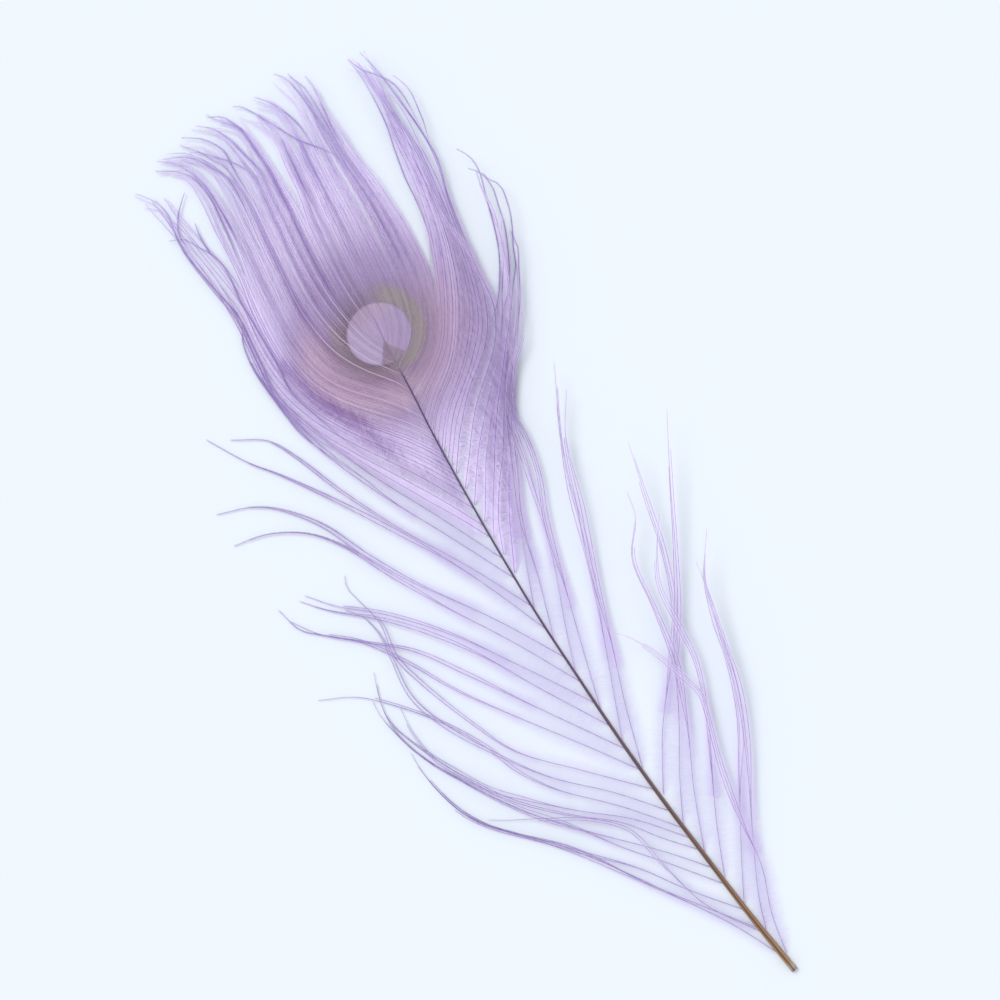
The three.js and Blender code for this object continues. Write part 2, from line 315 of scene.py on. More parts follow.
# The loose barbs left of the shaft. Each barb is a stiff hair, the ramus, with a fringe of
# barbules on both sides. It springs from the side of the shaft, arches as high as its row
# says and comes down at the tip, and a thinner neighbour clings to its outer part.
RAMUS_THICKNESS = 0.26
RAMUS_STEP = 1.6
BARBULE_STEP = 0.17
BARBULE_WIDTH = 0.10
BARBULE_FOOT = -0.01
BARBULE_CREST = 0.012
BARBULE_LEAN = 0.6                  # how far forward its tip points
BARBULE_TILT = (0.07, 0.05, 0.14)   # how far a barbule turns out of line at most, in radians
BARBULE_REACH = (0.82, 1.15)        # the shortest and longest of them, beside the usual one
GROUND_GAP = 0.4
TAPER_FROM = 0.6
TAPER_BY = 0.65
LOOSE_POINTS_APART = 2.2
CLING_FROM = (0.22, 0.34)
CLING_TO = (0.86, 0.98)
CLINGING_THICKNESS = 0.75
LOW_BARBS = (30, 85)                # barbs that spring from below here are thinly fringed
LOW_BLADES = (0.45, 1.0)
LOW_FRINGE = (0.7, 1.0)
shades = np.random.default_rng(5)

LEFT_LOOSE = [
    (0.6, [
        (-1.5, 5), (-9.5, 19.5), (-20, 34.5), (-30, 48.5), (-42, 63), (-54.5, 75), (-60, 82.5),
        (-63.3, 92), (-64.6, 100)]),
    (1.0, [
        (-3, 14), (-12, 25), (-25, 41.3), (-38, 59.5), (-50, 70.5), (-58, 79), (-62, 88), (-64.3, 98),
        (-64.5, 104)]),
    (3.0, [
        (-3, 13), (-13, 27.5), (-17.5, 42), (-21, 56), (-30, 64.5), (-40, 70), (-50, 74.8),
        (-54.5, 77.3)]),
    (0.6, [(-4, 20.5), (-15, 33), (-25, 46), (-38, 59), (-46, 66.8), (-55, 76), (-61, 86), (-63.4, 95)]),
    (1.2, [
        (-5.8, 30), (-16.5, 42.5), (-25, 52), (-35, 64.5), (-45, 75), (-54.5, 88.5), (-61.5, 100),
        (-65.5, 112), (-65, 121), (-62.7, 129)]),
    (1.6, [
        (-6.5, 35.5), (-15, 45), (-30, 59.5), (-40, 69.5), (-50, 82), (-57, 93), (-63, 103.5), (-66, 113),
        (-67, 118), (-66.8, 122)]),
    (1.8, [
        (-7.5, 42), (-15, 50), (-22, 58.5), (-34, 68), (-46, 79.5), (-53.5, 90), (-59, 99), (-61, 107),
        (-61.3, 112), (-61, 116.5)]),
    (1.3, [
        (-8, 46), (-19, 58), (-30, 66.5), (-42, 76.5), (-50, 84), (-56.5, 94.5), (-62, 105), (-65.3, 114),
        (-65.2, 120), (-63.6, 125.5)]),
    (1.4, [
        (-8.5, 49.5), (-20, 62.5), (-35, 77), (-42, 87), (-45, 95), (-52, 106.5), (-60, 116),
        (-70, 125.2), (-80, 129.7)]),
    (1.8, [
        (-9.5, 55.5), (-20, 67), (-34, 80), (-44, 93.5), (-52, 106.5), (-56.3, 118), (-56, 130),
        (-55.9, 138), (-58, 144.5), (-61, 148)]),
    (2.4, [
        (-10, 62.5), (-25, 77), (-39, 91), (-45.5, 103), (-52.5, 119.5), (-55.5, 130), (-54.4, 140),
        (-57, 150), (-57.8, 153.5), (-56.7, 156.6)]),
    (1.2, [
        (-11, 69.5), (-20, 81.5), (-35, 100.5), (-45, 113.5), (-53, 126.5), (-62, 138.5), (-71, 146),
        (-76, 152.5)]),
    (1.4, [
        (-11.7, 76.5), (-25, 95), (-40, 115.5), (-50, 128.8), (-60, 137), (-70, 145), (-75, 149.5),
        (-77.5, 157)]),
    (1.6, [(-12.5, 84.5), (-25, 104), (-33, 117), (-45, 132), (-55, 142), (-65, 150), (-71, 156.3)]),
    (1.0, [(-13, 92), (-25, 109.5), (-38, 127.2), (-52, 141.7), (-63, 150.5), (-69, 157)]),
    (1.8, [
        (-13.5, 99), (-25, 118.5), (-38, 138), (-46, 151), (-53, 164), (-60, 172), (-70, 177.3),
        (-79.5, 178.9)]),
    (1.2, [
        (-14.3, 107.5), (-25, 124.5), (-40, 145.5), (-48, 159), (-55, 172.5), (-64, 182.3), (-70, 186),
        (-79.5, 188.9)]),
    (1.6, [
        (-15, 117), (-23, 134.5), (-32.5, 152.5), (-44, 170.5), (-58.5, 190), (-65, 197.5),
        (-72, 208.5)]),
    (1.2, [(-15.4, 124.5), (-25, 142), (-36, 159.5), (-46, 178.5), (-52, 192), (-57, 200), (-66, 205.2)]),
    (0.8, [
        (-15.7, 133.5), (-26, 152.5), (-38, 174), (-46, 192), (-49.8, 208), (-51, 220), (-49.6, 228.5),
        (-47.6, 232)]),
    (0.5, [
        (-16, 140), (-26, 159), (-37, 179), (-44, 196), (-48.5, 210), (-48.2, 222), (-47.6, 234),
        (-49.5, 244), (-51.8, 257), (-51.8, 266), (-53, 274)]),
]


def barb(path, height, far, fringe, blade, shade, thickness=1.0, luck=0.5, uneven=0.12):
    """One barb: its points in millimetres, and how thick, fringed and dark it is along them.

    The fringe's reach in millimetres, the width of its blades and its depth of colour are
    lists, one value for each distance from the shaft in the list far. Its luck makes a
    ramus dark below a third, and gives it a painted highlight above two thirds."""
    along = np.linspace(0, 1, len(path))
    taper = 1 - TAPER_BY * np.clip((along - TAPER_FROM) / (1 - TAPER_FROM), 0, 1) ** 1.5
    from_root = np.linalg.norm(path - path[0], axis=1)
    lift = height(along) + GROUND_GAP
    return {
        "points": np.column_stack([path, lift]),
        "ramus": RAMUS_THICKNESS / 2 * thickness * taper,
        "fringe": np.interp(from_root, far, fringe) * (0.35 + 0.65 * taper),
        "blade": np.interp(from_root, far, blade) * (0.5 + 0.5 * taper),
        "shade": np.interp(from_root, far, shade) + shades.normal(0, uneven),
        "luck": np.full(len(path), luck),
    }


def barbule_pair():
    """Two thin blades that point forward off both sides of the barb, one millimetre long."""
    points = []
    faces = []
    for side in (-1, 1):
        base = len(points)
        points += [(-0.5 * BARBULE_WIDTH, 0, BARBULE_FOOT), (0.5 * BARBULE_WIDTH, 0, BARBULE_FOOT),
                   (0, 0, BARBULE_CREST), (BARBULE_LEAN, side, 0.0)]
        order = [(0, 1, 2), (0, 3, 1), (1, 3, 2), (2, 3, 0)]
        faces += [tuple(base + k for k in (face if side > 0 else face[::-1])) for face in order]
    scaled = [tuple(MM * c for c in point) for point in points]
    return new_mesh("barbule_pair", scaled, faces, smooth=False)


def barb_tree():
    """Turns lines with thicknesses on their points into rami with a fringe of barbules."""
    tree = bpy.data.node_groups.new("barbs", "GeometryNodeTree")
    for name, kind in (("Lines", "Geometry"), ("Ramus step", "Float"), ("Barbule step", "Float"),
                       ("Barbules", "Object"), ("Ramus dye", "Material"),
                       ("Barbule dye", "Material"), ("Seed", "Int")):
        tree.interface.new_socket(name, in_out="INPUT", socket_type="NodeSocket" + kind)
    tree.interface.new_socket("Barbs", in_out="OUTPUT", socket_type="NodeSocketGeometry")
    given = tree.nodes.new("NodeGroupInput")
    start = Socket(tree)
    lines, ramus_step, barbule_step, barbules, ramus_dye, barbule_dye, seed = [
        Socket(tree, given.outputs[k]) for k in range(7)]

    def along_line(name):
        return start.make("GeometryNodeInputNamedAttribute", {"data_type": "FLOAT"}, {"Name": name})

    curve = start.make("GeometryNodeMeshToCurve", None, {"Mesh": lines})
    hair = start.make("GeometryNodeResampleCurve", {"mode": "LENGTH"},
                      {"Curve": curve, "Length": ramus_step})
    hair = start.make("GeometryNodeSetCurveRadius", None,
                      {"Curve": hair, "Radius": along_line("ramus")})
    section = start.make("GeometryNodeCurvePrimitiveCircle", None, {"Resolution": 3, "Radius": 1.0})
    tube = start.make("GeometryNodeCurveToMesh", None,
                      {"Curve": hair, "Profile Curve": section, "Fill Caps": True})
    if "Scale" in tube.out.node.inputs:
        tree.links.new(along_line("ramus").out, tube.out.node.inputs["Scale"])
    tube = start.make("GeometryNodeSetMaterial", None, {"Geometry": tube, "Material": ramus_dye})

    places = start.make("GeometryNodeResampleCurve", {"mode": "LENGTH"},
                        {"Curve": curve, "Length": barbule_step})
    tangent = start.make("GeometryNodeInputTangent")
    turn = start.make("FunctionNodeAlignRotationToVector", {"axis": "X"}, {"Vector": tangent})
    turn = start.make("FunctionNodeAlignRotationToVector", {"axis": "Z", "pivot_axis": "X"},
                      {"Rotation": turn, "Vector": (0.0, 0.0, 1.0)})
    tilt = start.make("FunctionNodeRandomValue", {"data_type": "FLOAT_VECTOR"}, {
        "Min": tuple(-angle for angle in BARBULE_TILT), "Max": BARBULE_TILT, "Seed": seed})
    tilt = start.make("FunctionNodeEulerToRotation", None, {"Euler": tilt})
    turn = start.make("FunctionNodeRotateRotation", {"rotation_space": "LOCAL"},
                      {"Rotation": turn, "Rotate By": tilt})
    spread = start.make("FunctionNodeRandomValue", {"data_type": "FLOAT"},
                        {2: BARBULE_REACH[0], 3: BARBULE_REACH[1], "Seed": seed + 1}, 1)
    reach = along_line("fringe") * spread
    size = start.make("ShaderNodeCombineXYZ", None, {0: along_line("blade"), 1: reach, 2: reach})
    blade = start.make("GeometryNodeObjectInfo", None, {"Object": barbules}, 4)
    blades = start.make("GeometryNodeInstanceOnPoints", None,
                        {"Points": places, "Instance": blade, "Rotation": turn, "Scale": size})
    blades = start.make("GeometryNodeRealizeInstances", None, {"Geometry": blades})
    blades = start.make("GeometryNodeSetMaterial", None,
                        {"Geometry": blades, "Material": barbule_dye})

    both = tree.nodes.new("GeometryNodeJoinGeometry")
    tree.links.new(blades.out, both.inputs[0])
    tree.links.new(tube.out, both.inputs[0])
    result = tree.nodes.new("NodeGroupOutput")
    tree.links.new(both.outputs[0], result.inputs[0])
    return tree


EYE_MIDDLE = (-15.4, 211.3)
PATCH_HALF_WIDTH = 9.0
PATCH_HALF_HEIGHT = 8.6
SHAFT_TOP_IN_PATCH = 208.7
RINGS_SHOWN = 9                     # the colour bands go on to nine times the patch's size


def eye_colours(start, where):
    """The colour of the feather at each place: rings round the eye, fading to plain lilac.

    With it come how mottled the dye is, where it calms down outside the eye, where it has
    faded to plain lilac, where single dark barbs and painted highlights on barbs stand out, and the
    crown."""
    from_eye = where.moved(*EYE_MIDDLE)
    parts = start.make("ShaderNodeSeparateXYZ", None, {0: from_eye})
    right, up = (Socket(start.tree, parts.out.node.outputs[k]) for k in (0, 1))
    streaks = from_eye.noise((0.9, 0.07, 1), 3.0, 0.6)
    flecks = from_eye.noise((1.3, 0.3, 1), 4.0, 0.7)
    ripple = (streaks - 0.5) * 0.5
    rings = ((right / PATCH_HALF_WIDTH) ** 2 + (up / PATCH_HALF_HEIGHT) ** 2) ** 0.5
    heading_right = right / (rings * PATCH_HALF_WIDTH)
    heading_up = up / (rings * PATCH_HALF_HEIGHT)

    outer = (rings + ripple) / RINGS_SHOWN
    below = outer.ramp(
        (0.10, 146, 118, 154), (0.16, 156, 126, 157), (0.21, 184, 155, 182), (0.26, 196, 168, 194),
        (0.31, 176, 150, 190), (0.38, 188, 164, 208), (0.5, 184, 166, 204), (0.66, 192, 175, 217),
        (0.95, 212, 196, 242))
    above = outer.ramp(
        (0.10, 140, 118, 144), (0.14, 151, 130, 165), (0.22, 167, 143, 188), (0.28, 172, 148, 194),
        (0.38, 189, 167, 212), (0.6, 204, 186, 236), (0.9, 212, 196, 248))
    beside = outer.ramp(
        (0.10, 154, 128, 162), (0.18, 164, 138, 168), (0.26, 182, 157, 190), (0.36, 182, 161, 202),
        (0.6, 188, 171, 216), (0.95, 206, 188, 232))
    below = heading_right.step(-0.2, 0.6).blend(below, beside)
    tone = heading_up.step(0.0, 0.85).blend(below, above)
    outer_left = (1 - heading_right.step(-0.85, -0.5)) * rings.step(2.6, 3.6)
    tone = outer_left.blend(tone, colour(206, 189, 232))

    ring_place = (rings + ripple * 0.2 - 1.0) / (heading_up * 0.1 + 0.51)
    ring = ring_place.step(0.0, 0.12) * (1 - ring_place.step(0.7, 1.25))
    ring = ring * (1 - (heading_up - heading_right * 0.2).step(0.65, 0.98) * 0.85)
    left_ring = ring_place.step(0.0, 0.9).blend(colour(134, 113, 129), colour(157, 136, 155))
    tone = ring.blend(tone, heading_right.step(-0.3, 0.5).blend(left_ring, colour(160, 146, 150)))

    in_patch = 1 - (rings + ripple * 0.05).step(0.96, 1.04)
    patch = right.step(-3.0, 3.0).blend(colour(194, 175, 207), colour(182, 160, 196))
    patch = up.step(2.0, 7.0).blend(patch, colour(186, 164, 192))
    tone = in_patch.blend(tone, patch)
    wedge_side = (SHAFT_TOP_IN_PATCH - EYE_MIDDLE[1] - up) * (heading_right * 0.16 + 0.7)
    wedge = (wedge_side - right.math("ABSOLUTE")).step(-0.4, 0.4) * in_patch
    tone = wedge.blend(tone, colour(162, 141, 162))

    mottle = (streaks - 0.5) * 0.45 + (flecks - 0.5) * (rings.step(1.0, 3.0) * 0.7)
    calm = rings.step(1.0, 2.8)
    far = rings.step(2.2, 5.0)
    lined = (1 - right.step(-3.0, 1.0) * (1 - far) * 0.8) * (1 - wedge) * (1 - in_patch * 0.5)
    crown = up.step(46.0, 70.0)
    return tone, mottle, calm, far, lined, crown


def barb_dye(name, depth, unevenness, deep_tint, roughness):
    """The dye on rami or barbules: the eye's colours, streaked, and uneven from barb to barb."""
    material, shader, start, where = new_material(name)
    tone, mottle, calm, far, lined, crown = eye_colours(start, where)
    luck = start.attribute("luck")
    strength = (start.attribute("shade") - 0.5) * (calm * unevenness + 0.15) + mottle + depth
    strength = strength - crown * 0.22 + (luck - 0.5) * (0.8 - calm * 0.3) * unevenness
    pale = (far * 0.7 + calm * 0.1).blend(tone, colour(238, 226, 255))
    deep = (calm * 0.7 + 0.3).blend(tone, deep_tint, "MULTIPLY")
    dyed = strength.step(0.0, 1.0).blend(pale, deep)
    if unevenness == 0:
        # Painted highlights: pale lines on some rami, painted into their colour.
        painted_shine = luck.step(0.62, 0.72) * (0.66 - calm * 0.26) * lined
        dyed = painted_shine.blend(dyed, calm.blend(colour(236, 218, 232), colour(246, 240, 255)))
        dark = (1 - luck.step(0.3, 0.42)) * (0.65 - calm * 0.35) * lined
        dyed = dark.blend(dyed, far.blend(colour(112, 88, 118), colour(138, 118, 172)))
    feed(shader, {"Base Color": dyed, "Roughness": roughness, "Specular IOR Level": 0.3,
                  "Sheen Weight": 0.3, "Sheen Roughness": 0.5, "Sheen Tint": colour(235, 225, 252)})
    return material


ramus_dye = barb_dye("ramus_dye", 0.75, 0, colour(156, 142, 180), 0.45)
barbule_dye = barb_dye("barbule_dye", 0.34, 0.95, colour(206, 189, 222), 0.6)
barbs_tree = barb_tree()
pair = barbule_pair()
MAP_SIZE = 1.06 * (cad_high[1] - cad_low[1])        # a little more than the feather's length


def grow(name, barbs, seed, barbule_step=BARBULE_STEP):
    """Makes the real mesh of a set of barbs, with one flat map from above for its colours."""
    points = np.vstack([b["points"] for b in barbs])
    lines = bpy.data.meshes.new(name)
    edges = []
    first = 0
    for b in barbs:
        count = len(b["points"])
        edges += [(first + k, first + k + 1) for k in range(count - 1)]
        first += count
    lines.from_pydata([place(*p) for p in points], edges, [])
    for key in ("ramus", "fringe", "blade", "shade", "luck"):
        values = np.concatenate([b[key] for b in barbs]) * (MM if key == "ramus" else 1.0)
        lines.attributes.new(key, "FLOAT", "POINT").data.foreach_set("value", values)
    grown = bpy.data.objects.new(name, lines)
    bpy.context.collection.objects.link(grown)
    modifier = grown.modifiers.new("barbs", "NODES")
    modifier.node_group = barbs_tree
    sockets = {item.name: item.identifier for item in barbs_tree.interface.items_tree}
    for key, value in (("Ramus step", RAMUS_STEP * MM), ("Barbule step", barbule_step * MM),
                       ("Barbules", pair), ("Ramus dye", ramus_dye), ("Barbule dye", barbule_dye),
                       ("Seed", seed)):
        modifier[sockets[key]] = value
    shown = grown.evaluated_get(bpy.context.evaluated_depsgraph_get())
    mesh = bpy.data.meshes.new_from_object(shown)
    grown.modifiers.clear()
    grown.data = mesh
    mesh.name = name
    places = np.empty(len(mesh.vertices) * 3)
    mesh.vertices.foreach_get("co", places)
    corners = np.empty(len(mesh.loops), dtype=np.int32)
    mesh.loops.foreach_get("vertex_index", corners)
    flat = places.reshape(-1, 3)[corners, :2] / MAP_SIZE + 0.5
    mesh.uv_layers.new(name="OFBake").data.foreach_set("uv", flat.ravel())
    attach(grown, "root")
    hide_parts("feather")
    return grown


def loose(path, height, **looks):
    """A loose barb on a given path, with a point every two millimetres or so."""
    length = sum(math.dist(a, b) for a, b in zip(path, path[1:]))
    return barb(smooth_path(path, max(12, int(length / LOOSE_POINTS_APART))), height, **looks)


def bundle(path, height, beside, **looks):
    """A loose barb and the thinner ones that cling to its outer part, so far beside it."""
    barbs = [loose(path, height, **looks)]
    middle = barbs[0]["points"][:, :2]
    along = np.linspace(0, 1, len(middle))
    for distance in beside:
        start = int(len(middle) * shades.uniform(*CLING_FROM))
        kept = int(len(middle) * shades.uniform(*CLING_TO))
        free = (along - along[start]) / (1 - along[start])
        wave = 0.25 * np.sin(along * shades.uniform(6, 14) + shades.uniform(0, 6))
        offset = distance * np.sin(math.pi * np.clip(free, 0, 1) ** 0.7) + wave
        offset *= np.clip(free * 4, 0, 1)
        run = middle + sideways(middle) * offset[:, None]
        whole = barb(run, lambda a: height(a) + 0.15, **{**looks, "thickness": CLINGING_THICKNESS})
        whole["fringe"] = whole["fringe"] * 0.8
        barbs.append({key: values[start:kept] for key, values in whole.items()})
    return barbs


LEFT_LOOKS = {"far": (0, 3, 12, 28, 42, 62, 75, 100),
              "fringe": (0.5, 3.2, 4.0, 3.4, 2.0, 1.0, 0.6, 0.5),
              "blade": (0.7, 0.55, 0.5, 0.5, 0.6, 0.9, 1.4, 1.5),
              "shade": (0.3, 0.0, -0.1, 0.0, 0.2, 0.45, 0.9, 1.0)}
left_loose = []
for lift, path in LEFT_LOOSE:
    grown = bundle(path, lambda along, lift=lift: lift * np.sin(math.pi * along),
                   [shades.uniform(0.5, 1.0) * shades.choice([-1, 1])], **LEFT_LOOKS)
    for one in grown:
        one["blade"] = one["blade"] * np.interp(path[0][1], LOW_BARBS, LOW_BLADES)
        one["fringe"] = one["fringe"] * np.interp(path[0][1], LOW_BARBS, LOW_FRINGE)
    left_loose += grown
grow("loose_barbs_left", left_loose, seed=1)

# The loose barbs right of the shaft. They are the same kind of barb, but this side of the
# feather is twisted up off the ground, so they climb towards their tips, as far as each row
# says. The last four lie close together and look darkest where they cross at the vane's edge.
RIGHT_LOOSE = [
    (9, [
        (0.3, 4.5), (2, 16), (6, 29), (7.2, 43), (9.5, 59), (13.5, 75), (14.3, 80), (12, 87.5),
        (8.5, 96.5), (4.5, 103.5), (1.2, 106.8)]),
    (11, [(-1.5, 13), (1, 21.5), (8, 38), (17, 57), (24, 75.5), (27, 90), (30, 105), (30.8, 113)]),
    (12, [(-3.5, 22), (2, 33.5), (11, 51), (20, 68), (25.5, 84), (28, 98), (31, 108.5), (37.8, 119.5)]),
    (10, [
        (-4.5, 31.5), (0.5, 45), (7.5, 61), (13.5, 75), (17.5, 88), (18.2, 99), (18.8, 112), (22, 119.5),
        (28.5, 129.5)]),
    (9, [
        (-6, 40.5), (0, 57.5), (7.5, 75), (12.5, 91), (14.7, 108), (16, 122), (22.3, 131.8),
        (23.5, 139)]),
    (12, [(-7.5, 50), (-2, 62), (5, 75), (12, 89), (22, 107), (29, 121.5), (35.5, 136), (44.3, 154)]),
    (10, [(-8.3, 60), (0, 75.5), (10, 89.5), (18.5, 102), (24.5, 120), (27, 133), (30.5, 151)]),
    (7, [(-9.8, 69.5), (-5.5, 87), (-0.5, 104), (5, 125), (10.5, 142), (16, 160.5), (22.8, 172.2)]),
    (8, [(-11, 79), (-4.5, 98), (1.3, 115), (6, 130), (11, 150), (16, 164), (23.3, 180.2)]),
    (5, [
        (-12, 90), (-8, 108), (-4, 125), (0, 143), (4.5, 155), (6.5, 166), (6.6, 175), (12, 184),
        (20, 192), (25, 203.5)]),
    (4, [
        (-13.5, 101), (-9.3, 115), (-4.5, 129), (-0.5, 143), (3, 160), (6, 175), (15, 188), (21, 197),
        (27, 208), (30.5, 219)]),
    (3, [(-14.3, 112), (-10, 128), (-6, 145), (-0.5, 160), (5, 173.5), (14, 187), (20, 196)]),
    (3, [(-14.9, 122.5), (-9.5, 138), (-5, 149.5), (1, 163), (6, 174), (14, 187.5), (20, 197.5)]),
]

RIGHT_LOOKS = {"far": (0, 3, 12, 24, 40, 60, 100), "fringe": (0.5, 3.2, 3.8, 3.4, 2.0, 1.2, 1.0),
               "blade": (0.7, 0.6, 0.55, 0.55, 0.65, 0.8, 0.8),
               "shade": (0.3, 0.1, 0.0, 0.0, 0.1, 0.2, 0.2), "thickness": 0.85}
CROSSING = (6, 177)
CROSSING_DEPTH = 0.55
CROSSING_REACH = 16
right_loose = []
for rise, path in RIGHT_LOOSE:
    right_loose += bundle(path, lambda along, rise=rise: (rise - 0.3) * along ** 1.6,
                          [shades.uniform(0.6, 1.0), -shades.uniform(0.6, 1.0)], **RIGHT_LOOKS)
for one in right_loose:
    from_crossing = np.linalg.norm(one["points"][:, :2] - np.array(CROSSING), axis=1)
    one["shade"] = one["shade"] + CROSSING_DEPTH * np.exp(-(from_crossing / CROSSING_REACH) ** 2)
grow("loose_barbs_right", right_loose, seed=2)

